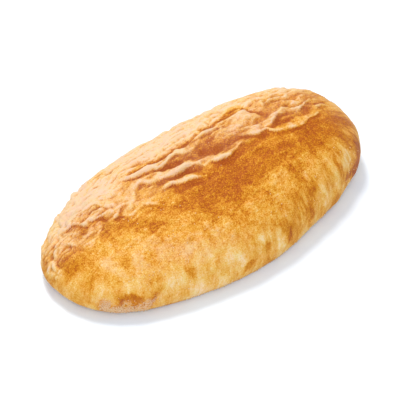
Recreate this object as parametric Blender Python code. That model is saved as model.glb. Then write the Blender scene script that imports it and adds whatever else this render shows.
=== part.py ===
"""Oval white flatbread loaf: one baked piece with a flat base and a low, rounded crown.

The loaf lies along X with its taller end at +X. It rests on the XY plane, and the
origin is on that plane, under the middle of the loaf.
"""

import math

import bmesh
import bpy
from mathutils import Vector

# Driving dimensions, in metres.
LOAF_LENGTH = 0.280
LOAF_WIDTH = 0.141
MID_HEIGHT = 0.058  # from the base to the top of the crown, at mid length
LEAN = 0.20  # the +X end rises by this share of MID_HEIGHT, and the -X end drops by it

# Shape of the outline from above: 2 is an ellipse, and more is fuller at the corners.
OUTLINE_FULLNESS = 2.25

# Shape of the side, from the base up. Shares are of the outline or of the height.
BASE_SHARE = 0.90  # the flat base, as a share of the widest outline
BELLY_SHARE = 0.27  # height of the widest line above the base
CROWN_FULLNESS = 2.73  # across the crown: more gives a broader top
CROWN_STEEPNESS = 2.20  # up the crown: more gives a steeper shoulder

# Where the dough settled unevenly. Each swell has the direction it faces from the middle
# of the loaf and its spread, both in degrees, and how far it stands out, in metres.
SWELLS = (
    {"facing": -90, "spread": 26, "out": 0.004},  # full belly on the near side
    {"facing": -42, "spread": 11, "out": -0.0025},  # slimmer towards the tall end
    {"facing": -14, "spread": 8, "out": 0.002},
    {"facing": 20, "spread": 12, "out": 0.005},  # square far corner of the tall end
    {"facing": 95, "spread": 34, "out": -0.0025},  # flatter far side
    {"facing": -172, "spread": 9, "out": -0.003},  # blunt low end
)

# How finely the loaf is divided.
SEGMENTS = 72
BELLY_RINGS = 8
CROWN_RINGS = 22

CRUST_COLOUR = (0.62, 0.33, 0.10, 1.0)
CRUST_ROUGHNESS = 0.6


def clear_scene():
    for scene_object in list(bpy.data.objects):
        bpy.data.objects.remove(scene_object, do_unlink=True)


def swell_at(direction):
    """How far the outline stands out beyond the even oval, facing this way from the middle."""
    total = 0.0
    for swell in SWELLS:
        turn = math.remainder(direction - math.radians(swell["facing"]), 2 * math.pi)
        total += swell["out"] * math.exp(-0.5 * (turn / math.radians(swell["spread"])) ** 2)
    return total


def loaf_outline():
    """The widest line of the loaf from above, as SEGMENTS points centred on the origin."""
    half_length = LOAF_LENGTH / 2
    half_width = LOAF_WIDTH / 2
    points = []
    for segment in range(SEGMENTS):
        step = 2 * math.pi * segment / SEGMENTS
        direction = math.atan2(half_width * math.sin(step), half_length * math.cos(step))
        along = abs(math.cos(direction) / half_length) ** OUTLINE_FULLNESS
        across = abs(math.sin(direction) / half_width) ** OUTLINE_FULLNESS
        reach = (along + across) ** (-1 / OUTLINE_FULLNESS) + swell_at(direction)
        points.append(Vector((reach * math.cos(direction), reach * math.sin(direction))))
    low = Vector((min(point.x for point in points), min(point.y for point in points)))
    high = Vector((max(point.x for point in points), max(point.y for point in points)))
    return [point - (low + high) / 2 for point in points]


def side_profile():
    """Rings from the edge of the base up to just below the top, as (outline share, height share)."""
    rings = []
    for ring in range(BELLY_RINGS):
        turn = math.pi / 2 * ring / BELLY_RINGS
        share = BASE_SHARE + (1 - BASE_SHARE) * math.sin(turn)
        rings.append((share, BELLY_SHARE * (1 - math.cos(turn))))
    for ring in range(CROWN_RINGS):
        turn = math.pi / 2 * ring / CROWN_RINGS
        share = math.cos(turn) ** (2 / CROWN_FULLNESS)
        rise = math.sin(turn) ** (2 / CROWN_STEEPNESS)
        rings.append((share, BELLY_SHARE + (1 - BELLY_SHARE) * rise))
    return rings


def loaf_point(outline_point, share, height_share):
    x = share * outline_point.x
    lean = 1 + LEAN * x / (LOAF_LENGTH / 2)
    return Vector((x, share * outline_point.y, height_share * MID_HEIGHT * lean))


def build_loaf_mesh():
    shape = bmesh.new()
    outline = loaf_outline()
    rings = []
    for share, height_share in side_profile():
        rings.append([shape.verts.new(loaf_point(point, share, height_share)) for point in outline])

    for lower, upper in zip(rings, rings[1:]):
        for segment in range(SEGMENTS):
            following = (segment + 1) % SEGMENTS
            shape.faces.new((lower[segment], lower[following], upper[following], upper[segment]))

    shape.faces.new(reversed(rings[0]))  # the flat base
    top = shape.verts.new((0, 0, MID_HEIGHT))
    for segment in range(SEGMENTS):
        following = (segment + 1) % SEGMENTS
        shape.faces.new((rings[-1][segment], rings[-1][following], top))

    mesh = bpy.data.meshes.new("flatbread")
    shape.to_mesh(mesh)
    shape.free()
    mesh.shade_smooth()
    mesh.set_sharp_from_angle(angle=math.radians(40))
    return mesh


def crust_material():
    material = bpy.data.materials.new("baked_crust")
    material.use_nodes = True
    shader = material.node_tree.nodes["Principled BSDF"]
    shader.inputs["Base Color"].default_value = CRUST_COLOUR
    shader.inputs["Roughness"].default_value = CRUST_ROUGHNESS
    shader.inputs["Metallic"].default_value = 0.0
    return material


def build_flatbread():
    mesh = build_loaf_mesh()
    mesh.materials.append(crust_material())
    loaf = bpy.data.objects.new("flatbread", mesh)
    bpy.context.scene.collection.objects.link(loaf)
    return loaf


clear_scene()
build_flatbread()
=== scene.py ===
import itertools
import math

import bpy
import numpy as np
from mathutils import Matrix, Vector


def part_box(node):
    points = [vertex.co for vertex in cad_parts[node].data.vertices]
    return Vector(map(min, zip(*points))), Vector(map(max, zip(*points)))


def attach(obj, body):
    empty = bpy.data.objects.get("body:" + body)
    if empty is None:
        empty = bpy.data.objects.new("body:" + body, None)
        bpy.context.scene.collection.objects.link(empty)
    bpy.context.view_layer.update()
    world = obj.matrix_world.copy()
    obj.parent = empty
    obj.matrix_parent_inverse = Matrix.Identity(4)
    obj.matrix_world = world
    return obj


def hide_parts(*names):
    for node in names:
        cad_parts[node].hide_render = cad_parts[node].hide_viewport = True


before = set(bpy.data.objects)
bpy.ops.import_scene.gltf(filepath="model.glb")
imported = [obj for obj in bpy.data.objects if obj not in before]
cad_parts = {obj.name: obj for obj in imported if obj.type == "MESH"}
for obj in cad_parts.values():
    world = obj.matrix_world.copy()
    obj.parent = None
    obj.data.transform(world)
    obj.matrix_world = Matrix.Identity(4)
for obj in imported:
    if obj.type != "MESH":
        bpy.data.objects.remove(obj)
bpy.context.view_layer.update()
bpy.ops.object.select_all(action="DESELECT")
print("frame loaded")

mm = 0.001


# Camera, floor and light.
view = {
    "azimuth": -37,  # degrees round the loaf; 0 looks along +Y
    "elevation": 46,
    "distance": 1.7,
    "lens": 201,
    "aimAt": (-0.0053, 0.0005, 0.0234),
}


def makeCamera():
    turn = math.radians(view["azimuth"])
    rise = math.radians(view["elevation"])
    back = Vector((math.sin(turn) * math.cos(rise), -math.cos(turn) * math.cos(rise), math.sin(rise)))
    bpy.ops.object.camera_add(location=Vector(view["aimAt"]) + back * view["distance"])
    camera = bpy.context.object
    camera.name = "viewCamera"
    camera.rotation_euler = back.to_track_quat("Z", "Y").to_euler()
    camera.data.lens = view["lens"]
    bpy.context.scene.camera = camera


studio = {
    "floorSize": 6.0,
    "floorColour": (0.85, 0.92, 1.0, 1),
    "floorRoughness": 0.9,
    "skyStrength": 0.74,
    "skyColour": (0.88, 0.93, 1.0, 1),
    # name, place in metres, width in metres, watts, colour
    "lamps": [
        ("windowLamp", (0.06, 0.50, 1.45), 0.36, 10.7, (1.0, 0.975, 0.94)),
        ("backLamp", (0.35, 1.20, 0.62), 0.45, 3.5, (1.0, 0.98, 0.95)),
        ("frontFill", (-0.7, -1.0, 1.2), 1.2, 10, (1.0, 0.98, 0.95)),
    ],
}


def makeStudio():
    bpy.ops.mesh.primitive_plane_add(size=studio["floorSize"], location=(0, 0, 0))
    floor = bpy.context.object
    floor.name = "floor"
    material = bpy.data.materials.new("paleFloor")
    material.use_nodes = True
    shader = material.node_tree.nodes["Principled BSDF"]
    shader.inputs["Base Color"].default_value = studio["floorColour"]
    shader.inputs["Roughness"].default_value = studio["floorRoughness"]
    floor.data.materials.append(material)

    for name, place, width, watts, colour in studio["lamps"]:
        bpy.ops.object.light_add(type="AREA", location=place)
        lamp = bpy.context.object
        lamp.name = name
        lamp.data.shape = "DISK"
        lamp.data.size = width
        lamp.data.energy = watts
        lamp.data.color = colour
        lamp.rotation_euler = Vector(place).to_track_quat("Z", "Y").to_euler()

    world = bpy.data.worlds.new("studioWorld")
    world.use_nodes = True
    sky = world.node_tree.nodes["Background"]
    sky.inputs["Color"].default_value = studio["skyColour"]
    sky.inputs["Strength"].default_value = studio["skyStrength"]
    bpy.context.scene.world = world
    bpy.context.scene.view_settings.view_transform = "Standard"


makeCamera()
makeStudio()
print("camera, floor and light made")


# The loaf's smooth form, as a fine even net wrapped round the CAD loaf.
net = {
    "along": 316,  # squares along the top of the net
    "across": 166,
    "sideRows": 38,
    "baseInsets": (0.985, 0.96, 0.9, 0.75, 0.45),
    "clearance": 4 * mm,  # how far the net starts from the loaf
    "weld": 0.01 * mm,
    "guideLevels": 2,  # subdivisions that round off the CAD loaf's facets
    "settleTurns": 2,
    "relax": 0.5,
    "relaxTurns": 12,
}


def pick(piece):
    bpy.ops.object.select_all(action="DESELECT")
    piece.select_set(True)
    bpy.context.view_layer.objects.active = piece


def makeGuide():
    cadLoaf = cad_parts["flatbread"]
    guide = cadLoaf.copy()
    guide.data = cadLoaf.data.copy()
    guide.name = "guide"
    guide.parent = None
    bpy.context.scene.collection.objects.link(guide)
    pick(guide)
    bpy.ops.mesh.customdata_custom_splitnormals_clear()
    bpy.ops.object.mode_set(mode="EDIT")
    bpy.ops.mesh.select_all(action="SELECT")
    bpy.ops.mesh.remove_doubles(threshold=net["weld"])
    bpy.ops.mesh.tris_convert_to_quads()
    bpy.ops.object.mode_set(mode="OBJECT")
    smooth = guide.modifiers.new("smooth", "SUBSURF")
    smooth.levels = smooth.render_levels = net["guideLevels"]
    bpy.ops.object.modifier_apply(modifier="smooth")
    return guide


def makeNet():
    low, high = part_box("flatbread")
    size = high - low
    gap = net["clearance"]
    centre = ((low.x + high.x) / 2, (low.y + high.y) / 2, high.z + gap)
    bpy.ops.mesh.primitive_grid_add(
        x_subdivisions=net["along"], y_subdivisions=net["across"], size=1, location=centre
    )
    loaf = bpy.context.object
    loaf.name = "flatbreadCrust"
    loaf.scale = (size.x + 2 * gap, size.y + 2 * gap, 1)
    bpy.ops.object.transform_apply(location=True, rotation=False, scale=True)
    bpy.ops.object.mode_set(mode="EDIT")
    bpy.ops.mesh.select_all(action="SELECT")
    bpy.ops.mesh.region_to_loop()
    drop = (size.z + 2 * gap) / net["sideRows"]
    for row in range(net["sideRows"]):
        bpy.ops.mesh.extrude_region_move(TRANSFORM_OT_translate={"value": (0, 0, -drop)})
    before = 1.0
    for share in net["baseInsets"]:
        bpy.ops.mesh.extrude_region_move()
        bpy.ops.transform.resize(value=(share / before, share / before, 1))
        before = share
    bpy.ops.mesh.edge_face_add()
    bpy.ops.mesh.select_all(action="SELECT")
    bpy.ops.mesh.normals_make_consistent(inside=False)
    bpy.ops.object.mode_set(mode="OBJECT")
    return loaf


def wrapNet(loaf, guide):
    for turn in range(net["settleTurns"] + 1):
        wrap = loaf.modifiers.new("wrap", "SHRINKWRAP")
        wrap.target = guide
        wrap.wrap_method = "NEAREST_SURFACEPOINT"
        bpy.ops.object.modifier_apply(modifier="wrap")
        if turn < net["settleTurns"]:
            relax = loaf.modifiers.new("relax", "SMOOTH")
            relax.factor = net["relax"]
            relax.iterations = net["relaxTurns"]
            bpy.ops.object.modifier_apply(modifier="relax")


guide = makeGuide()
loaf = makeNet()
pick(loaf)
wrapNet(loaf, guide)
bpy.data.objects.remove(guide)
print("loaf net:", len(loaf.data.vertices), "points")


# Where each point lies on the crust, in millimetres. flat lays the crust out like a peeled
# skin, with X and Y carried outwards by drop, which is how far the point lies below the
# crown. A pair is where a soft edge starts and ends.
form = {
    "length": 280,
    "width": 141,
    "crown": 58,  # height of the crown at mid length
    "lean": 0.20,  # share by which it rises towards the tall end
    "fullness": 2.25,  # 2 is an ellipse from above, and more is fuller at the corners
    "aboveBase": (0.6, 6),  # height
    "crownEdge": (10, 26),  # drop
    "topEdge": (5, 15),
}

noiseCells = 32  # the noise repeats after this many cells
noiseStart = 1000  # a fixed shift, in cells


def readLoaf(piece):
    mesh = piece.data
    points = np.empty(len(mesh.vertices) * 3)
    mesh.vertices.foreach_get("co", points)
    normals = np.empty(len(mesh.vertices) * 3)
    mesh.vertices.foreach_get("normal", normals)
    return points.reshape(-1, 3) / mm, normals.reshape(-1, 3)


def softStep(values, low, high):
    t = np.clip((values - low) / (high - low), 0, 1)
    return t * t * (3 - 2 * t)


def softNoise(places, size, seed):
    lattice = np.random.default_rng(seed).uniform(-1, 1, (noiseCells,) * 3)
    places = places / size + noiseStart
    cell = np.floor(places).astype(int)
    part = places - cell
    part = part * part * (3 - 2 * part)
    total = np.zeros(len(places))
    for corner in itertools.product((0, 1), repeat=3):
        share = np.prod(np.where(corner, part, 1 - part), axis=1)
        index = (cell + corner) % noiseCells
        total += share * lattice[index[:, 0], index[:, 1], index[:, 2]]
    return total


def layOut(points, normals):
    outward = normals[:, :2] / (np.linalg.norm(normals[:, :2], axis=1, keepdims=True) + 1e-6)
    crown = form["crown"] * (1 + form["lean"] * points[:, 0] / (form["length"] / 2))
    drop = np.maximum(crown - points[:, 2], 0)
    flat = points[:, :2] + outward * drop[:, None]
    return flat, drop


def runDown(points, steps=16):
    # where water running off the crown from each point would reach the edge of the loaf
    half = np.array([form["length"], form["width"]]) / 2
    full = form["fullness"]
    place = points[:, :2].copy()
    for step in range(steps):
        share = (np.abs(place / half) ** full).sum(axis=1) ** (1 / full)
        uphill = np.sign(place) * np.abs(place / half) ** (full - 1) / half
        uphill *= share[:, None] ** (1 - full)
        still = (1 - share) / (steps - step)
        place += uphill * (still / ((uphill**2).sum(axis=1) + 1e-12))[:, None]
    return place


points, normals = readLoaf(loaf)
flat, drop = layOut(points, normals)
foot = runDown(points)
aboveBase = softStep(points[:, 2], *form["aboveBase"])  # 0 on the flat base, 1 above it
onCrown = 1 - softStep(drop, *form["crownEdge"])
onTop = 1 - softStep(drop, *form["topEdge"])
downhill = np.column_stack([foot, drop])
print("crust laid out")


# Folds, hollows and blisters. Each stroke follows its points, in mm along and
# across the laid-out crust. rise is how far it stands up (or sinks, below 0), wide is half
# its width, and brown is how much darker (or paler, below 0) it is coloured: in a hollow
# the darkening is painted shade, and on a fold the paleness is flour with a painted
# highlight on its far side, above painted shade on its near side.
strokes = [
    # the long dark hollow on the far side of the crown, and its hook
    {"path": [(-55, 37), (-46, 36), (-36, 36), (-28, 34), (-20, 32), (-10, 31), (0, 31), (10, 33), (20, 35),
              (30, 35), (40, 36), (50, 40), (58, 44), (62, 47)],
     "rise": -1.7, "wide": 3.8, "brown": 0.52},
    {"path": [(60, 44), (62, 36), (63, 29), (66, 23), (70, 17), (75, 12)],
     "rise": -1.4, "wide": 3.0, "brown": 0.48},
    # the broad pale fold under it, curling round the blister
    {"path": [(-60, 35), (-50, 30.5), (-40, 29), (-33, 27), (-27, 23), (-18, 24), (-12, 25), (-7, 22),
              (-1, 20), (5, 23), (9, 26), (13, 30), (19, 31.5), (25, 29), (29, 24)],
     "rise": 1.8, "wide": 2.3, "brown": -0.36},
    # second dark hollow
    {"path": [(-36, 22), (-30, 20), (-25, 18), (-18, 17), (-12, 15), (-6, 13), (0, 11), (8, 10),
              (15, 7), (24, 7)],
     "rise": -1.5, "wide": 3.0, "brown": 0.46},
    # the longest fold, from the low end right across the crown
    {"path": [(-72, 6), (-65, 9), (-60, 14), (-57, 18), (-51, 19.5), (-46, 18), (-42, 14.5), (-32, 12.5),
              (-24, 10.5), (-15, 9), (-6, 8.5), (-2, 4), (1, 1.5), (6, 2), (10, -1), (14, -2), (20, -3.5),
              (26, -1.5), (33, 0.5), (40, -2)],
     "rise": 1.9, "wide": 1.9, "brown": -0.38},
    # hollow under the longest fold
    {"path": [(-43, 8), (-34, 7), (-24, 6), (-16, 4), (-8, 2), (-2, -3)],
     "rise": -1.2, "wide": 2.8, "brown": 0.34},
    {"path": [(2, -5), (10, -7), (20, -8), (30, -6), (37, -7)], "rise": -1.0, "wide": 3.0, "brown": 0.36},
    # third fold and its hollow
    {"path": [(-42, 2), (-36, 2.5), (-31, 3), (-26, 0), (-20, -3), (-14, -4.5), (-9, -7.5), (-6, -11)],
     "rise": 1.4, "wide": 1.6, "brown": -0.36},
    {"path": [(-37, -4), (-28, -7), (-18, -9), (-10, -13)], "rise": -0.9, "wide": 2.6, "brown": 0.34},
    # short folds towards the low end
    {"path": [(-67, 2), (-61, 1.5), (-56, -2), (-52, -5.5), (-48, -9)],
     "rise": 1.3, "wide": 1.5, "brown": -0.34},
    {"path": [(-51, 6), (-46, 5), (-42, 1)], "rise": 0.9, "wide": 1.4, "brown": -0.25},
    {"path": [(-47, -12), (-42, -13), (-37, -11)], "rise": 0.6, "wide": 1.3, "brown": -0.20},
    {"path": [(-89, 6), (-84, 5), (-80, 7), (-76, 11), (-69, 12)],
     "rise": 1.1, "wide": 1.4, "brown": -0.30},
    {"path": [(-86, 11), (-79, 12.5), (-71, 12)], "rise": 0.8, "wide": 1.2, "brown": -0.22},
    {"path": [(-78, 8), (-76, 2), (-72, -1), (-66, -2)], "rise": 0.6, "wide": 1.1, "brown": -0.18},
    # blister ring and the fold that curls round the pillow
    {"path": [(6, 20), (6, 14), (9, 10), (14, 8)], "rise": -0.6, "wide": 3.0, "brown": 0.20},
    {"path": [(20, 8), (28, 8), (34, 7), (39, 5), (44, 0)], "rise": -1.3, "wide": 2.6, "brown": 0.50},
    {"path": [(43, 1), (48, -3), (55, -5), (60, -8)], "rise": -0.9, "wide": 3.2, "brown": 0.36},
    {"path": [(32, -10), (36, -13), (41, -13), (46, -13), (52, -17)],
     "rise": 0.9, "wide": 1.3, "brown": -0.26},
    # folds towards the tall end
    {"path": [(36, 11), (42, 6), (47, 2), (54, 0), (60, 1), (62, -3), (67, -7), (74, -9)],
     "rise": 1.3, "wide": 1.8, "brown": -0.32},
    {"path": [(72, -9), (80, -11), (88, -12), (95, -10.5), (104, -8), (112, -7), (122, -3)],
     "rise": 1.3, "wide": 1.6, "brown": -0.34},
    {"path": [(61, 0), (68, 0), (76, 1), (84, 0), (92, 1), (100, 0), (108, 2), (118, 8)],
     "rise": -1.2, "wide": 2.8, "brown": 0.42},
    {"path": [(74, 4), (80, 7), (88, 7), (96, 3)], "rise": -0.7, "wide": 1.6, "brown": 0.35},
    {"path": [(57, 8), (63, 5), (69, 6), (76, 10), (82, 12)], "rise": 1.2, "wide": 1.8, "brown": -0.28},
    {"path": [(94, 8), (100, 4.5), (106, 8), (112, 12), (116, 15)],
     "rise": 1.0, "wide": 1.6, "brown": -0.26},
    {"path": [(119, 15), (121, 10), (127, 8), (136, 8), (146, 7)],
     "rise": -0.9, "wide": 2.4, "brown": 0.34},
    {"path": [(120, 2), (130, 5), (142, 3)], "rise": 0.9, "wide": 1.8, "brown": -0.22},
    {"path": [(94, -14), (104, -12), (112, -10), (122, -8)], "rise": -0.7, "wide": 2.4, "brown": 0.20},
    {"path": [(60, 12), (59, 8)], "rise": -0.5, "wide": 2.0, "brown": 0.30},
    # the low end: fine slanting folds and an arc round the tip
    {"path": [(-156, 4), (-150, 10), (-143, 15), (-136, 18), (-131, 17), (-128, 12), (-125, 7)],
     "rise": 0.9, "wide": 1.4, "brown": -0.16},
    {"path": [(-130, 40), (-124, 35), (-118, 33), (-114, 30), (-111, 25), (-107, 19), (-101, 17)],
     "rise": 1.3, "wide": 1.6, "brown": -0.26},
    {"path": [(-105, 22), (-99, 18), (-92, 15), (-86, 14)], "rise": 0.8, "wide": 1.3, "brown": -0.20},
    {"path": [(-101, 34), (-92, 33), (-86, 29), (-84, 22), (-80, 16)],
     "rise": 0.9, "wide": 1.9, "brown": -0.26},
    {"path": [(-118, 9), (-113, 9.5), (-108, 7.5), (-104, 7)], "rise": 0.6, "wide": 1.2, "brown": -0.14},
    {"path": [(-106, 2), (-101, 4), (-97, 7)], "rise": 0.6, "wide": 1.2, "brown": -0.16},
    {"path": [(-121, -4), (-114, -2), (-107, -1)], "rise": 0.5, "wide": 1.2, "brown": -0.12},
    {"path": [(-126, 26), (-121, 21), (-118, 15)], "rise": 0.5, "wide": 1.2, "brown": -0.10},
    {"path": [(-132, 37), (-144, 27), (-156, 16), (-162, 6)], "rise": -0.7, "wide": 1.8, "brown": 0.08},
    {"path": [(-130, 28), (-141, 20), (-150, 8), (-154, -3)], "rise": -0.6, "wide": 1.6, "brown": 0.10},
    {"path": [(-131, 33), (-143, 23), (-153, 12), (-158, 2)], "rise": 0.7, "wide": 1.6, "brown": -0.16},
    {"path": [(-128, 44), (-122, 40), (-115, 37), (-106, 35)], "rise": 0.8, "wide": 1.5, "brown": -0.16},
    {"path": [(-120, 46), (-110, 44), (-102, 42), (-94, 41)], "rise": 0.8, "wide": 1.5, "brown": -0.16},
    {"path": [(-98, 46), (-90, 40), (-82, 38), (-74, 38)], "rise": 0.9, "wide": 1.6, "brown": -0.18},
    {"path": [(-78, 30), (-72, 27), (-68, 22)], "rise": 0.9, "wide": 1.6, "brown": -0.20},
    {"path": [(-96, 27), (-90, 24), (-84, 26)], "rise": -0.6, "wide": 1.8, "brown": 0.16},
    {"path": [(-112, 22), (-114, 15), (-110, 11)], "rise": -0.7, "wide": 2.2, "brown": 0.20},
    {"path": [(-98, 14), (-92, 11), (-87, 9)], "rise": -0.8, "wide": 2.4, "brown": 0.30},
    {"path": [(-90, 52), (-86, 48), (-82, 43)], "rise": -1.2, "wide": 3.0, "brown": 0.50},
    {"path": [(-82, 54), (-76, 54), (-70, 50)], "rise": -1.0, "wide": 1.8, "brown": 0.48},
    {"path": [(-47, 44.5), (-41, 43), (-35, 41)], "rise": -0.7, "wide": 1.4, "brown": 0.30},
]


def curved(path, parts=4):
    # a smooth line through the points
    path = np.array(path, float)
    ends = np.vstack([2 * path[0] - path[1], path, 2 * path[-1] - path[-2]])
    line = []
    for a, b, c, d in zip(ends, ends[1:], ends[2:], ends[3:]):
        for t in np.arange(parts) / parts:
            bend = (2 * a - 5 * b + 4 * c - d) / 2 + t * (3 * (b - c) + d - a) / 2
            line.append(b + t * ((c - a) / 2 + t * bend))
    line.append(path[-1])
    return np.array(line)


farAway = 1e6  # mm, for points that a stroke doesn't touch
reachLimit = 4  # it touches the box round its line, widened by this many times its reach


def reachOf(places, path, reach):
    # distance from the line, which side (above 0 is the far one), and mm to the line's nearer end
    line = curved(path)
    away = np.full(len(places), farAway)
    side = np.ones(len(places))
    toEnd = np.zeros(len(places))
    margin = reachLimit * reach
    near = np.all((places > line.min(0) - margin) & (places < line.max(0) + margin), axis=1)
    spots = places[near]
    bestAway, bestSide, bestEnd = away[near], side[near], toEnd[near]
    lengths = np.linalg.norm(np.diff(line, axis=0), axis=1)
    total = lengths.sum()
    gone = 0
    for start, end, length in zip(line, line[1:], lengths):
        run = end - start
        t = np.clip((spots - start) @ run / (run @ run), 0, 1)
        gap = spots - start - t[:, None] * run
        distance = np.hypot(gap[:, 0], gap[:, 1])
        closer = distance < bestAway
        bestAway[closer] = distance[closer]
        bestSide[closer] = np.sign(run[0] * gap[closer, 1] - run[1] * gap[closer, 0])
        place = gone + t[closer] * length
        bestEnd[closer] = np.minimum(place, total - place)
        gone += length
    away[near], side[near], toEnd[near] = bestAway, bestSide, bestEnd
    return away, side, toEnd


fold = {
    "crestNear": 0.75,  # a fold drops steeply on its near side, in shares of its width
    "crestFar": 3.2,
    # flour on a fold's crest, with a painted highlight, spreads this many widths over its far, lit side
    "flourAndHighlightFar": 2.8,
    "farCurve": 1.7,  # more gives the far side a flatter top and a steeper edge
    "paleCurve": 1.4,
    "undercut": 0.25,  # the hollow at its foot, as a share of its rise
    "undercutAway": 1.5,
    "paintedShade": 0.9,  # painted shade below a fold, on its near side away from the light, as a share of how pale it is
    "paintedShadeFrom": (0.3, 1.1),  # where it starts and is full, in shares of the fold's width
    "paintedShadeLength": 4.5,  # mm over which that painted shade fades
    "taper": (-2, 9),  # mm from a stroke's end over which it fades in
    "wobble": [(8, 1.1), (4, 0.5)],  # sizes and shifts, in mm
    "uneven": 0.75,
    # strength, size in mm, seed; and the least and most of each
    "unevenNoise": [(1, 15, 15), (0.3, 5, 19)],
    "unevenRange": (0.3, 1.6),
    "widthNoise": [(1, 12, 18)],
    "widthRange": (0.6, 1.6),
    "dustNoise": [(1, 8, 16), (0.5, 2, 17)],
    "dustRange": (0, 2),
    "reach": 3,  # in shares of its width
    "riseScale": 0.95,
    "brownScale": 0.95,
}


def noiseSum(rows):
    return sum(strength * softNoise(points, size, seed) for strength, size, seed in rows)


def addStrokes(places, rise, brown):
    uneven = np.clip(1 + fold["uneven"] * noiseSum(fold["unevenNoise"]), *fold["unevenRange"])
    widths = np.clip(1 + fold["uneven"] * noiseSum(fold["widthNoise"]), *fold["widthRange"])
    dusting = np.clip(1 + noiseSum(fold["dustNoise"]), *fold["dustRange"])
    for stroke in strokes:
        wide = stroke["wide"]
        away, side, toEnd = reachOf(places, stroke["path"], fold["reach"] * wide)
        taper = softStep(toEnd, *fold["taper"]) * uneven
        wide = wide * widths
        if stroke["rise"] > 0:
            far = np.exp(-((away / (wide * fold["crestFar"])) ** fold["farCurve"]))
            near = np.exp(-((away / (wide * fold["crestNear"])) ** 2))
            dip = np.exp(-(((away - fold["undercutAway"] * wide) / wide) ** 2))
            shape = np.where(side > 0, far, near - fold["undercut"] * dip)
            # pale is flour with a painted highlight on the fold's far, lit side; below is painted shade
            # under its near side
            flourAndHighlightFar = np.exp(-((away / (fold["flourAndHighlightFar"] * wide)) ** fold["paleCurve"]))
            pale = np.where(side > 0, flourAndHighlightFar, near) * dusting
            shadeStart, shadeFull = fold["paintedShadeFrom"]
            below = np.exp(-away / fold["paintedShadeLength"])
            below = below * softStep(away, shadeStart * wide, shadeFull * wide)
            below = np.where(side > 0, 0, below)
            darker = stroke["brown"] * pale - fold["paintedShade"] * stroke["brown"] * below
        else:
            shape = np.exp(-((away / wide) ** 2))
            darker = stroke["brown"] * shape
        brown += darker * taper * fold["brownScale"]
        rise += stroke["rise"] * shape * taper * fold["riseScale"]


# Rounded patches: along, across, half length, half width, turn in degrees, rise, brown. brown darkens a dip
# as painted shade and, below 0, pales a rise as a painted highlight.
patches = [
    (19, 25, 8, 7, 10, 0.9, -0.10),  # blister
    (17, 20, 5, 3.6, 20, -1.1, 0.40),  # its dimple
    (51, 26, 11, 8, 20, 2.6, -0.34),  # the big pillow
    (43, 17, 9, 5, -10, 1.0, -0.06),
    (52, 7, 7, 5, 0, 1.4, -0.30),
    (1, 16, 4, 5, 0, 0.4, -0.12),
    (5, 16, 5, 5, 0, -0.4, 0.16),
    (13, 12, 11, 5, -12, -0.5, 0.26),
    (36, 19, 8, 5, 0, 0.5, -0.24),
    (92, 20, 6, 3.5, 10, -0.5, 0.20),
    (111, 27, 9, 4, 0, -0.5, 0.16),
    (84, 14, 8, 4, 10, 0.6, -0.16),
    (-116, 60, 48, 26, 16, -2.0, 0),  # flatter far side at the low end
    (124, -86, 20, 20, 15, -1.6, 0),  # and near side at the tall end
]


def addPatches(places, rise, brown, rows, edge=3):
    for along, across, halfLength, halfWidth, turn, up, darker in rows:
        c, s = math.cos(math.radians(turn)), math.sin(math.radians(turn))
        shift = places - (along, across)
        reach = np.hypot((c * shift[:, 0] + s * shift[:, 1]) / halfLength,
                         (c * shift[:, 1] - s * shift[:, 0]) / halfWidth)
        shape = np.exp(-(reach**edge))
        rise += up * shape
        brown += darker * shape


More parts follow.
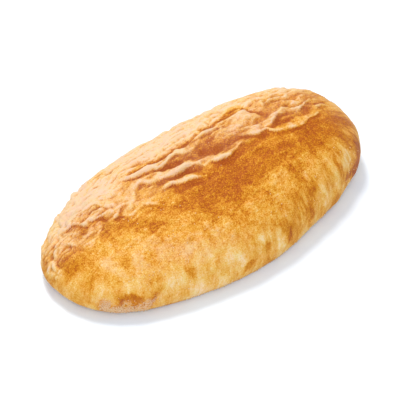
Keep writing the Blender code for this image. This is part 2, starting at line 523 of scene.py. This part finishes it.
# Broad tones of the crust, in the same form. Their rise is 0, so they change its colour only.
tones = [
    (-35, 48, 62, 14, 8, 0, -0.10),
    (-58, -60, 28, 15, -40, 0, -0.07),
    (-95, -2, 14, 12, 0, 0, 0.08),
    (-82, -5, 12, 8, 0, 0, 0.05),
    (-56, -28, 10, 8, 0, 0, 0.06),
    (-90, -68, 24, 14, -35, 0, -0.09),
    (18, -42, 30, 13, -25, 0, 0.08),
    (-112, 46, 30, 16, 12, 0, -0.14),
    (-5, -30, 44, 17, -2, 0, 0.13),
    (-95, -3, 15, 9, 0, 0, 0.18),
    (-60, -12, 30, 10, 0, 0, 0.06),
    (-50, -95, 95, 24, 0, 0, -0.11),  # paler low on the near side
    (-80, -86, 16, 10, 0, 0, -0.12),
    (-30, -104, 20, 9, 0, 0, -0.08),
    (-72, -50, 9, 10, 0, 0, -0.10),
    (40, -20, 95, 20, -3, 0, 0.26),  # brown shoulder on the near side
    (118, -28, 36, 30, 0, 0, 0.20),
    (-8, -14, 44, 13, 0, 0, 0.08),
    (-140, -3, 20, 15, 0, 0, 0.24),
    (-146, -9, 5, 9, 20, 0, 0.12),
    (-138, -28, 15, 7, 15, 0, 0.14),
    (-126, -40, 5, 12, 35, 0, 0.13),
    (-103, -37, 4, 13, -28, 0, 0.13),
    (-83, -50, 6, 9, 10, 0, 0.12),
    (-78, -13, 5, 9, 0, 0, 0.22),
    (-66, -23, 7, 3.5, -20, 0, 0.28),
    (-92, -66, 6, 4, 0, 0, 0.12),
    (-117, -72, 14, 4.2, -30, 0, 0.42),
    (-99, -84, 5, 4, 0, 0, 0.26),
    (-63, -84, 5, 9, 0, 0, 0.20),
    (-57, -86, 2, 4, 0, 0, 0.16),
    (-40, -101, 4, 8, 0, 0, 0.16),
    (-15, -113, 9, 4, 8, 0, 0.28),
    (50, -88, 17, 24, -18, 0, 0.17),
    (60, -24, 6, 6, 0, 0, 0.22),
    (100, -68, 5, 15, 12, 0, 0.20),
    (86, -83, 3, 6, 20, 0, 0.16),
    (145, -66, 12, 26, 0, 0, 0.34),
    (128, -86, 26, 7, 12, 0, 0.34),
    (-160, 33, 8, 7, 20, 0, 0.20),
    (-143, 43, 5, 5, 30, 0, 0.22),
    (-98, 12, 16, 10, -20, 0, 0.12),
    (-115, 21, 9, 9, 0, 0, 0.12),
    (75, 25, 24, 20, 0, 0, -0.02),
    # cream places
    (-158, 8, 7, 15, 12, 0, -0.30),
    (-116, -30, 8, 11, 10, 0, -0.20),
    (-116, -44, 5, 5, 0, 0, -0.14),
    (-95, -41, 6, 12, -8, 0, -0.22),
    (-79, -33, 7, 8, 0, 0, -0.14),
    (-143, -46, 9, 6, 30, 0, -0.14),
    (-112, -58, 9, 7, 0, 0, -0.12),
    (-57, -59, 6, 9, 0, 0, -0.22),
    (-31, -56, 4, 12, 0, 0, -0.18),
    (-27, -92, 6, 9, 0, 0, -0.16),
    (-48, -76, 6, 8, 0, 0, -0.14),
    (7, -95, 5, 7, 0, 0, -0.16),
    (35, -48, 4, 7, 0, 0, -0.14),
    (61, -62, 5, 8, 15, 0, -0.16),
    (118, -68, 12, 10, 0, 0, -0.18),
    (92, -92, 14, 8, 20, 0, -0.14),
    (74, -84, 6, 14, 15, 0, -0.10),
]

# Dark runs down the near side, as strokes with no rise.
runWidth = 1.5  # scales the width of every run
runStrength = 0.75  # and how brown it is
runs = [
    {"path": [(-26, -30), (-25, -40), (-26, -52)], "wide": 2.4, "brown": 0.22},
    {"path": [(-20, -41), (-15, -49), (-14, -62)], "wide": 2.4, "brown": 0.24},
    {"path": [(0, -34), (1, -46), (-2, -56), (-4, -68)], "wide": 3.0, "brown": 0.28},
    {"path": [(-34, -48), (-33, -56)], "wide": 1.6, "brown": 0.16},
    {"path": [(7, -30), (9, -36), (17, -39)], "wide": 2.2, "brown": 0.26},
    {"path": [(23, -54), (24, -64), (23, -76)], "wide": 1.6, "brown": 0.30},
    {"path": [(14, -62), (15, -80)], "wide": 2.2, "brown": 0.16},
    {"path": [(3, -72), (3, -86)], "wide": 2.6, "brown": 0.16},
    {"path": [(-3, -84), (-2, -100)], "wide": 2.4, "brown": 0.18},
    {"path": [(31, -76), (31, -83)], "wide": 1.4, "brown": 0.22},
    {"path": [(52, -42), (55, -50), (56, -58)], "wide": 2.4, "brown": 0.30},
    {"path": [(62, -40), (62, -54)], "wide": 1.8, "brown": 0.24},
    {"path": [(57, -64), (61, -76), (65, -88), (66, -102)], "wide": 2.4, "brown": 0.32},
    {"path": [(46, -70), (50, -80)], "wide": 2.2, "brown": 0.20},
    {"path": [(23, -88), (28, -98), (34, -108)], "wide": 2.8, "brown": 0.22},
    {"path": [(80, -30), (82, -50)], "wide": 2.2, "brown": 0.14},
    {"path": [(30, -52), (34, -60)], "wide": 1.8, "brown": 0.14},
    {"path": [(-70, -20), (-64, -24), (-60, -27)], "wide": 2.0, "brown": 0.20},
]


def bent(places, seed, *turns):
    # places shifted by smooth noise, so that no line or edge runs too true
    for count, (size, shift) in enumerate(turns):  # both in mm
        x = softNoise(points, size, seed + 2 * count)
        y = softNoise(points, size, seed + 2 * count + 1)
        places = places + shift * np.column_stack([x, y])
    return places


ragged = bent(flat, 41, (14, 4), (6, 3.5), (2.6, 1.6))  # for the edges of tones


def shapeCrust():
    places = bent(flat, 11, *fold["wobble"])
    rise = np.zeros(len(points))
    brown = np.zeros(len(points))
    addStrokes(places, rise, brown)
    addPatches(places, rise, brown, patches)
    addPatches(ragged, np.zeros(len(points)), brown, tones, edge=4)
    for run in runs:
        wide = runWidth * run["wide"]
        away = reachOf(ragged, run["path"], wide)[0]
        brown += runStrength * run["brown"] * np.exp(-((away / wide) ** 2))
    return rise, brown


wrinkles = {
    # rise in mm, length along and across the loaf in mm, seed
    "folds": [(1.20, 20, 5.5, 20), (0.55, 10, 3.6, 36)],
    "crown": [(0.55, 18, 6.0, 21), (0.42, 8, 3.0, 26), (0.25, 4, 1.8, 29)],
    "farSide": [(1.6, 19, 6.0, 30), (1.0, 8, 4.0, 38)],
    "lowEnd": [(1.6, 13, 6.5, 27), (1.1, 7, 4.0, 37)],
    # rise, length round the loaf and down its side, seed
    "flank": [(0.40, 9, 34, 22), (0.18, 3.6, 14, 28)],
    # rise, size, seed
    "swell": (0.9, 34, 23),
    "lump": (0.42, 9, 24),
    "fine": (0.12, 2.6, 25),
    "grainy": (0.22, 2.4, 39),
}

# Where each kind of wrinkle lies: a pair is where a soft edge starts and ends, in mm. depth
# is how slowly the wrinkles change down the side, and bends are sizes and shifts, in mm.
zones = {
    "crown": {"depth": 14, "bends": [(12, 3)]},
    "folds": {"near": (-4, 10), "far": (34, 48), "lowEnd": (-80, -50), "tallEnd": (45, 85),
              "tallEndShare": 0.9, "depth": 40, "bends": [(14, 4), (5, 1.5)]},
    "farSide": {"across": (30, 44), "drop": (22, 40), "depth": 40, "bends": [(12, 3)]},
    "lowEnd": {"along": (-80, -45), "across": (-8, 6), "height": (12, 22),
               "depth": 20, "bends": [(12, 4), (5, 1.5)]},
}


def wrinkleNoise(row, zone):
    # noise stretched along the loaf
    long, short, seed = row[1:]
    places = bent(flat, seed + 100, *zone["bends"])
    spots = np.column_stack([places[:, 0] / long, places[:, 1] / short, drop / zone["depth"]])
    return softNoise(spots, 1, seed)


def bulges(noise):
    return 1.6 * np.abs(noise) - 0.45  # round, with narrow creases between them


def ridges(noise):
    return 0.4 - 1.5 * np.abs(noise)


def addWrinkles(rise):
    share = np.where(points[:, 1] < 0, onTop, onCrown)
    for row in wrinkles["crown"]:
        rise += row[0] * wrinkleNoise(row, zones["crown"]) * share
    zone = zones["folds"]
    share = softStep(flat[:, 1], *zone["near"]) * (1 - softStep(flat[:, 1], *zone["far"])) * onCrown
    tallEnd = zone["tallEndShare"] * softStep(points[:, 0], *zone["tallEnd"])
    share *= softStep(points[:, 0], *zone["lowEnd"]) + tallEnd
    for row in wrinkles["folds"]:
        rise += row[0] * ridges(wrinkleNoise(row, zone)) * share
    zone = zones["farSide"]
    share = softStep(flat[:, 1], *zone["across"]) * (1 - softStep(drop, *zone["drop"]))
    for row in wrinkles["farSide"]:
        rise += row[0] * bulges(wrinkleNoise(row, zone)) * share
    for up, wide, long, seed in wrinkles["flank"]:
        rise += up * softNoise(downhill / (wide, wide, long), 1, seed) * (1 - onCrown)
    zone = zones["lowEnd"]
    share = (1 - softStep(points[:, 0], *zone["along"])) * softStep(flat[:, 1], *zone["across"])
    share *= softStep(points[:, 2], *zone["height"])
    for row in wrinkles["lowEnd"]:
        rise += row[0] * bulges(wrinkleNoise(row, zone)) * share
    for name in ("swell", "lump", "fine"):
        up, wide, seed = wrinkles[name]
        rise += up * softNoise(points, wide, seed)
    up, wide, seed = wrinkles["grainy"]
    rise += up * softNoise(points, wide, seed) * onCrown


def hollowness(piece, rise, turns=10):
    # how far each point lies below its surroundings, in mm
    edges = np.empty(len(piece.data.edges) * 2, int)
    piece.data.edges.foreach_get("vertices", edges)
    first, second = edges.reshape(-1, 2).T
    count = np.bincount(edges, minlength=len(rise))
    around = rise.copy()
    for turn in range(turns):
        total = np.bincount(first, around[second], len(rise))
        total = total + np.bincount(second, around[first], len(rise))
        around = (around + total / count) / 2
    return around - rise


def sculpt(piece, rise):
    moved = points + normals * (rise * aboveBase)[:, None]
    moved[:, 2] = np.maximum(moved[:, 2], 0)
    piece.data.vertices.foreach_set("co", (moved * mm).ravel())
    piece.data.update()


def store(piece, name, values):
    kind = "FLOAT" if values.ndim == 1 else "FLOAT_VECTOR"
    layer = piece.data.attributes.new(name, kind, "POINT")
    layer.data.foreach_set("value" if kind == "FLOAT" else "vector", values.astype(np.float32).ravel())


rise, brown = shapeCrust()
addWrinkles(rise)
sculpt(loaf, rise)
hollow = hollowness(loaf, rise)
print("crust sculpted")


# How brown each point is coloured: 0 is dough and 1 the darkest brown; it takes in painted shade in hollows
# and below folds. Pairs are in mm.
bake = {
    "middle": 0.44,
    "crown": 0.05,
    "crownAlong": (-90, -20),
    "palerOnCrown": 0.5,  # how much of the pale tones the crown loses
    "hollows": 0.42,  # painted shade: how much darker a hollow is coloured, for each mm of depth
    "deepest": 0.8,  # mm, past which the painted shade grows no darker
    "folds": 0.10,
    "foldsNear": (-4, 8),
    "foldsFar": (30, 42),
    "foldsAlong": (-50, -20),
    # strength, length round the loaf and down its side, seed
    "flankStreaks": [(0.22, 6, 20, 31), (0.18, 3.2, 11, 34), (0.12, 1.8, 7, 35)],
    "streakStretch": 0.3,  # the finest streaks are drawn out down the side
    "fineStreak": 5,  # streaks finer than this fade in towards the tall end
    "fineAlong": (-50, 40),
    "mottle": [(0.08, 14, 61), (0.09, 5, 62), (0.13, 2.0, 63)],  # strength, size, seed
    "mottleOnFlank": 0.45,
    "slowFrom": 0.6,  # past this, browning slows down
    "slowBy": 0.4,
    "lowSide": 0.10,  # how much paler it is just above the base
    "lowSideHeight": (5, 16),
    "base": 0.66,
    "baseHeight": (0.1, 1.2),
}


def bakeAndShadeCrust(brown, hollow):
    paler = np.minimum(brown, 0) * (1 - bake["palerOnCrown"] * onCrown)
    # painted shade: hollows are coloured darker by their depth
    deep = np.clip(hollow, -bake["deepest"], bake["deepest"])
    toastAndShade = bake["middle"] + np.maximum(brown, 0) + paler + bake["hollows"] * deep
    toastAndShade += bake["crown"] * onCrown * softStep(points[:, 0], *bake["crownAlong"])
    inFolds = bake["folds"] * softStep(flat[:, 1], *bake["foldsNear"])
    inFolds *= 1 - softStep(flat[:, 1], *bake["foldsFar"])
    toastAndShade += inFolds * softStep(points[:, 0], *bake["foldsAlong"]) * onCrown
    toTallEnd = softStep(points[:, 0], *bake["fineAlong"])
    for strength, wide, long, seed in bake["flankStreaks"]:
        streak = softNoise(downhill / (wide, wide, long), 1, seed) * (1 - onCrown)
        toastAndShade += strength * streak * (toTallEnd if wide < bake["fineStreak"] else 1)
    mottled = bake["mottleOnFlank"] + (1 - bake["mottleOnFlank"]) * onCrown
    for strength, size, seed in bake["mottle"]:
        toastAndShade += strength * softNoise(points, size, seed) * mottled
    over = bake["slowBy"] * np.tanh((toastAndShade - bake["slowFrom"]) / bake["slowBy"])
    return np.where(toastAndShade > bake["slowFrom"], bake["slowFrom"] + over, toastAndShade)


# Where flour stays on the crust, and how it changes the brown; on the far side it comes with a painted
# highlight, and with painted shade in the hollows. Pairs are soft edges, in mm.
dust = {
    "bloomNear": (-8, 8),
    "bloomDrop": (20, 40),
    "bloomTallEnd": (95, 130),
    "bloomBrown": 0.06,
    "bloomCrest": 0.10,
    "bloomLessOnBrown": 0.8,
    "farSideAcross": (22, 44),
    "farSideDrop": (20, 52),
    "farSideMiddle": 0.85,
    "farSideNoise": [(0.9, 20, 73), (0.4, 6, 74)],  # strength, size, seed
    "farSideRange": (0.15, 1.4),  # the least and most flour
    # the far side is paler with flour and a painted highlight, and its hollows are darker with painted
    # shade
    "farSidePaleAndLit": 0.30,
    "farSideHollowShade": 0.4,
    "farSideDeepest": 0.6,  # mm
    "farSideCrest": 0.36,
    "middleCrest": (0.15, -30, 65),  # how much more, where along the loaf, and half its spread
    "crownCrest": 0.26,  # on the crown's low end
    "crownNear": (-6, 12),
    "crownAlong": (-80, -50),
    "lessOnBrown": 1.15,
    "lessInHollows": 0.6,
    # flour and semolina under the low end's rim
    "rimPath": [(-148, -56), (-139, -69), (-126, -79), (-112, -86), (-97, -90)],
    "rimWidth": 6.8,
    "rimTaper": (-3, 8),
    "rimHeight": (2.0, 5.0),  # and a thin line of it all round the base
    "rimBrown": 0.34,
}


# where the far side carries flour and a painted highlight
def flourAndHighlightFarSide():
    patchy = np.clip(dust["farSideMiddle"] + noiseSum(dust["farSideNoise"]), *dust["farSideRange"])
    across = softStep(ragged[:, 1], *dust["farSideAcross"])
    return across * (1 - softStep(drop, *dust["farSideDrop"])) * patchy


def dustRim():
    away, _, toEnd = reachOf(ragged, dust["rimPath"], dust["rimWidth"])
    underEnd = np.exp(-((away / dust["rimWidth"]) ** 3)) * softStep(toEnd, *dust["rimTaper"])
    return np.maximum(underEnd, 1 - softStep(points[:, 2], *dust["rimHeight"]))


# Flour on the crests and the far side, which also stands as a painted highlight there; it thins in hollows,
# which so stay darker as painted shade.
def dustCrests(brown, hollow, farSide, bloom):
    more, middle, spread = dust["middleCrest"]
    crest = farSide * (dust["farSideCrest"] + more * np.exp(-(((points[:, 0] - middle) / spread) ** 4)))
    lowEnd = dust["crownCrest"] * softStep(flat[:, 1], *dust["crownNear"])
    crest += lowEnd * (1 - softStep(points[:, 0], *dust["crownAlong"])) * onCrown
    less = dust["lessOnBrown"] * brown + dust["lessInHollows"] * hollow
    crest = np.clip(crest - less * np.maximum(onCrown, farSide), 0, 1)
    browned = np.clip(2 * brown, 0, 1)
    return crest + dust["bloomCrest"] * bloom * (1 - dust["bloomLessOnBrown"] * browned)


def colourCrust(piece, brown, hollow):
    toastAndShade = bakeAndShadeCrust(brown, hollow)
    bloom = softStep(flat[:, 1], *dust["bloomNear"]) * (1 - softStep(drop, *dust["bloomDrop"]))
    bloom = np.maximum(bloom, softStep(points[:, 0], *dust["bloomTallEnd"]))
    toastAndShade += dust["bloomBrown"] * bloom
    farSide = flourAndHighlightFarSide()
    # on the far side: painted shade in the hollows, and paler with flour and a painted highlight
    deep = np.clip(hollow, -dust["farSideDeepest"], dust["farSideDeepest"])
    toastAndShade += farSide * (dust["farSideHollowShade"] * deep - dust["farSidePaleAndLit"])
    crest = dustCrests(brown, hollow, farSide, bloom)
    rimFlour = dustRim()
    toastAndShade += dust["rimBrown"] * rimFlour
    toastAndShade -= bake["lowSide"] * (1 - softStep(points[:, 2], *bake["lowSideHeight"])) * (1 - rimFlour)
    # the flat base keeps one even brown
    aboveFloor = softStep(points[:, 2], *bake["baseHeight"])
    toastAndShade = bake["base"] + (toastAndShade - bake["base"]) * aboveFloor
    store(piece, "rimFlour", rimFlour)
    store(piece, "toastAndShade", toastAndShade)
    store(piece, "crest", crest * aboveFloor)
    store(piece, "downhill", downhill * (1, 1, bake["streakStretch"]) * mm)
    store(piece, "flank", (1 - onCrown) * aboveFloor)
    return rimFlour


rimFlour = colourCrust(loaf, brown, hollow)
print("crust baked and dusted")


# The baked crust. A pair after a noise is what it is multiplied by, and then what is added.
crust = {
    # how the crust colours as it bakes, from dough to dark brown
    "colours": [
        (0.00, (0.82, 0.61, 0.36)),
        (0.18, (0.79, 0.515, 0.185)),
        (0.34, (0.745, 0.41, 0.090)),
        (0.50, (0.68, 0.305, 0.036)),
        (0.66, (0.565, 0.212, 0.008)),
        (0.82, (0.45, 0.125, 0.006)),
        (1.00, (0.32, 0.062, 0.006)),
    ],
    # flour, also the colour of the painted highlight on crests and the far side
    "flour": (0.75, 0.53, 0.36),
    "flourSize": 1.3 * mm,
    "flourPatches": (4.4, -1.15),
    "rimFlour": (0.70, 0.47, 0.30),
    "rimGrain": 1.5 * mm,
    "rimGrains": (5.0, -3.5),
    "rimClump": 18 * mm,
    "rimClumps": 3.0,
    "speckSize": 0.95 * mm,
    "specks": (0.96, -0.48),
    "specksOnFlank": (-0.5, 1.4),  # so they are 1.4 times as strong on the crown and 0.9 below
    "blotchSize": 5 * mm,
    "blotches": (0.14, -0.07),
    "streakSize": 2.2 * mm,
    "streaks": (0.7, -0.35),
    "roughness": 0.58,
    "shine": 0.10,
    "reddish": (1.02, 0.96, 1.0),  # the crust's hue wanders between these two
    "golden": (1.0, 1.0, 0.84),
    "hueSize": 7 * mm,
    "hues": (3.0, -1.0),
    "bump": 0.5 * mm,
    "bumpStrength": 0.7,
    "bumpSizes": (1.3 * mm, 3.4 * mm),
    "coarseBumps": 1.4,
}


def makeCrust():
    material = bpy.data.materials.new("bakedCrust")
    material.use_nodes = True
    nodes = material.node_tree.nodes
    links = material.node_tree.links
    shader = nodes["Principled BSDF"]
    place = nodes.new("ShaderNodeTexCoord").outputs["Object"]

    def readLayer(name, output="Fac"):
        node = nodes.new("ShaderNodeAttribute")
        node.attribute_name = name
        return node.outputs[output]

    def noise(size, detail=3, rough=0.6, where=place):
        node = nodes.new("ShaderNodeTexNoise")
        node.inputs["Scale"].default_value = 1 / size
        node.inputs["Detail"].default_value = detail
        node.inputs["Roughness"].default_value = rough
        links.new(where, node.inputs["Vector"])
        return node.outputs["Fac"]

    def connect(values, sockets):
        for socket, value in zip(sockets, values):
            if isinstance(value, bpy.types.NodeSocket):
                links.new(value, socket)
            else:
                socket.default_value = value

    def combine(kind, *values):
        node = nodes.new("ShaderNodeMath")
        node.operation = kind
        connect(values, node.inputs)
        return node.outputs[0]

    def blend(share, first, second, kind="MIX"):
        node = nodes.new("ShaderNodeMix")
        node.data_type = "RGBA"
        node.blend_type = kind
        connect((share, first, second), [node.inputs[name] for name in ("Factor", "A", "B")])
        return node.outputs["Result"]

    specks = combine("MULTIPLY_ADD", noise(crust["speckSize"], 2), *crust["specks"])
    onFlank = combine("MULTIPLY_ADD", readLayer("flank"), *crust["specksOnFlank"])
    specks = combine("MULTIPLY", specks, onFlank)
    blotches = combine("MULTIPLY_ADD", noise(crust["blotchSize"], 4), *crust["blotches"])
    streaks = noise(crust["streakSize"], where=readLayer("downhill", "Vector"))
    streaks = combine("MULTIPLY_ADD", streaks, *crust["streaks"])
    streaks = combine("MULTIPLY", streaks, readLayer("flank"))
    toasted = combine("ADD", readLayer("toastAndShade"), specks)
    toasted = combine("ADD", toasted, combine("ADD", blotches, streaks))

    ramp = nodes.new("ShaderNodeValToRGB")
    band = ramp.color_ramp
    while len(band.elements) > 1:
        band.elements.remove(band.elements[-1])
    for count, (stop, colour) in enumerate(crust["colours"]):
        element = band.elements[0] if count == 0 else band.elements.new(stop)
        element.position = stop
        element.color = (*colour, 1)
    links.new(toasted, ramp.inputs["Fac"])

    # the crest layer paints flour, with a painted highlight, over the crests and the far side
    flourPatches = combine("MULTIPLY_ADD", noise(crust["flourSize"], rough=0.65), *crust["flourPatches"])
    flourAndHighlightShare = combine("MULTIPLY", readLayer("crest"), flourPatches)
    flouredAndHighlighted = blend(flourAndHighlightShare, ramp.outputs["Color"], (*crust["flour"], 1))

    rimGrains = combine("MULTIPLY_ADD", noise(crust["rimGrain"], rough=0.65), *crust["rimGrains"])
    rimClumps = noise(crust["rimClump"], rough=0.5)
    rimPatches = combine("MULTIPLY_ADD", rimClumps, crust["rimClumps"], rimGrains)
    rimShare = combine("MULTIPLY", readLayer("rimFlour"), rimPatches)
    rimShare.node.use_clamp = True
    rimmed = blend(rimShare, flouredAndHighlighted, (*crust["rimFlour"], 1))

    hueShare = combine("MULTIPLY_ADD", noise(crust["hueSize"]), *crust["hues"])
    hue = blend(hueShare, (*crust["reddish"], 1), (*crust["golden"], 1))
    links.new(blend(1, rimmed, hue, "MULTIPLY"), shader.inputs["Base Color"])

    shader.inputs["Roughness"].default_value = crust["roughness"]
    shader.inputs["Specular IOR Level"].default_value = crust["shine"]
    bump = nodes.new("ShaderNodeBump")
    bump.inputs["Distance"].default_value = crust["bump"]
    bump.inputs["Strength"].default_value = crust["bumpStrength"]
    fineSize, coarseSize = crust["bumpSizes"]
    coarse = combine("MULTIPLY", noise(coarseSize), crust["coarseBumps"])
    links.new(combine("ADD", noise(fineSize), coarse), bump.inputs["Height"])
    links.new(bump.outputs["Normal"], shader.inputs["Normal"])
    return material


loaf.data.materials.append(makeCrust())
for face in loaf.data.polygons:
    face.use_smooth = True
print("crust material made")


# Semolina grains that cling to the crust, all in one mesh.
semolina = {
    "count": 900,
    "radius": (0.28, 0.50),  # mm
    "uneven": (0.7, 1.2),  # how far a grain's corners stand out, in shares of its radius
    "standOut": 0.3,  # how far its middle stands off the crust, in the same shares
    "floorGap": 1.2,
    "onRim": 0.75,  # share of them that lie on the rim
    "rimHeight": (0.5, 1.2),  # mm
    "topHeight": (6, 12),
    "topPatches": 22,
    "pale": (0.86, 0.68, 0.44),
    "toasted": (0.62, 0.36, 0.14),
    "tintSize": 1.5 * mm,
    "roughness": 0.8,
    "seed": 71,
}


def grainSpots(surface, chance):
    rimShare = rimFlour * softStep(surface[:, 2], *semolina["rimHeight"])
    topShare = np.clip(softNoise(points, semolina["topPatches"], semolina["seed"] + 1), 0, 1)
    topShare = topShare * softStep(surface[:, 2], *semolina["topHeight"])
    weights = semolina["onRim"] * rimShare / rimShare.sum()
    weights = weights + (1 - semolina["onRim"]) * topShare / topShare.sum()
    return chance.choice(len(surface), semolina["count"], replace=False, p=weights)


def makeGrains():
    bpy.ops.object.select_all(action="DESELECT")
    bpy.ops.mesh.primitive_ico_sphere_add(subdivisions=1, radius=1)
    pattern = bpy.context.object
    corners = np.array([v.co for v in pattern.data.vertices])
    faces = np.array([list(face.vertices) for face in pattern.data.polygons])
    bpy.data.objects.remove(pattern)

    chance = np.random.default_rng(semolina["seed"])
    surface, outward = readLoaf(loaf)
    allCorners = []
    allFaces = []
    for count, spot in enumerate(grainSpots(surface, chance)):
        radius = chance.uniform(*semolina["radius"])
        shape = corners * chance.uniform(*semolina["uneven"], (len(corners), 1)) * radius
        centre = surface[spot] + outward[spot] * radius * semolina["standOut"]
        centre[2] = max(centre[2], radius * semolina["floorGap"])
        allCorners.append(shape + centre)
        allFaces.append(faces + count * len(corners))
    mesh = bpy.data.meshes.new("semolinaGrains")
    mesh.from_pydata((np.vstack(allCorners) * mm).tolist(), [], np.vstack(allFaces).tolist())
    grains = bpy.data.objects.new("semolinaGrains", mesh)
    bpy.context.scene.collection.objects.link(grains)
    return grains


def makeSemolina():
    material = bpy.data.materials.new("semolina")
    material.use_nodes = True
    nodes = material.node_tree.nodes
    links = material.node_tree.links
    shader = nodes["Principled BSDF"]
    place = nodes.new("ShaderNodeTexCoord")
    speckle = nodes.new("ShaderNodeTexNoise")
    speckle.inputs["Scale"].default_value = 1 / semolina["tintSize"]
    tint = nodes.new("ShaderNodeMix")
    tint.data_type = "RGBA"
    tint.inputs["A"].default_value = (*semolina["pale"], 1)
    tint.inputs["B"].default_value = (*semolina["toasted"], 1)
    links.new(place.outputs["Object"], speckle.inputs["Vector"])
    links.new(speckle.outputs["Fac"], tint.inputs["Factor"])
    links.new(tint.outputs["Result"], shader.inputs["Base Color"])
    shader.inputs["Roughness"].default_value = semolina["roughness"]
    return material


grains = makeGrains()
grains.data.materials.append(makeSemolina())
print("semolina scattered")

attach(loaf, "root")
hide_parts("flatbread")
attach(grains, "root")
